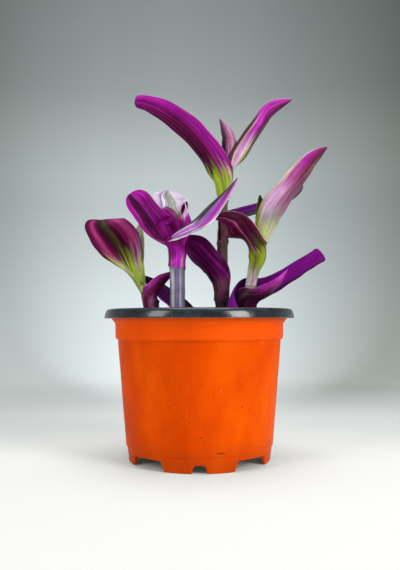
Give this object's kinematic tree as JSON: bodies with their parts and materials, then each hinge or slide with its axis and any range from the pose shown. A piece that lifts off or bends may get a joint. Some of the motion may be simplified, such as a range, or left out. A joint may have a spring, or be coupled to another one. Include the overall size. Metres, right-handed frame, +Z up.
{
  "type": "potted tradescantia",
  "caption": "Round nursery pot with a rolled rim and notched feet, full of soil, with upright tradescantia stems and pointed striped leaves that wrap them.",
  "frame": {"origin": "centre of the plant's bounding box, on the surface that the pot's feet stand on; the pot's own axis is 4.6 mm to its left", "axes": "+Z up, +X to the right and +Y away from the viewer, with the front as in the picture"},
  "size_m": [0.1332, 0.105, 0.2032],
  "materials": {
    "pot": "satin",
    "soil": "matte",
    "stem_pale": "satin",
    "stem_dark": "satin",
    "leaf_dark": "satin",
    "leaf_magenta": "satin",
    "leaf_lilac": "satin",
    "leaf_pale": "satin",
    "leaf_green": "satin"
  },
  "bodies": {
    "root": {"pot": "pot", "soil": "soil", "stem_front": "stem_pale", "stem_tall": "stem_dark", "stem_right": "stem_pale", "stem_left": "stem_pale", "stem_back": "stem_dark", "leaf_front_right": "leaf_lilac", "leaf_front_left": "leaf_magenta", "leaf_front_pale": "leaf_pale", "leaf_front_spike": "leaf_magenta", "leaf_tall_low": "leaf_dark", "leaf_tall_right": "leaf_dark", "leaf_tall_left": "leaf_magenta", "leaf_tall_top": "leaf_lilac", "leaf_tall_spike": "leaf_lilac", "leaf_right_low": "leaf_magenta", "leaf_right_cupped": "leaf_magenta", "leaf_right_arching": "leaf_dark", "leaf_right_long": "leaf_lilac", "leaf_right_tip": "leaf_green", "leaf_left_fan": "leaf_magenta", "leaf_left_tip": "leaf_green", "leaf_left_folded": "leaf_magenta", "leaf_back": "leaf_dark"}
  },
  "joints": []
}
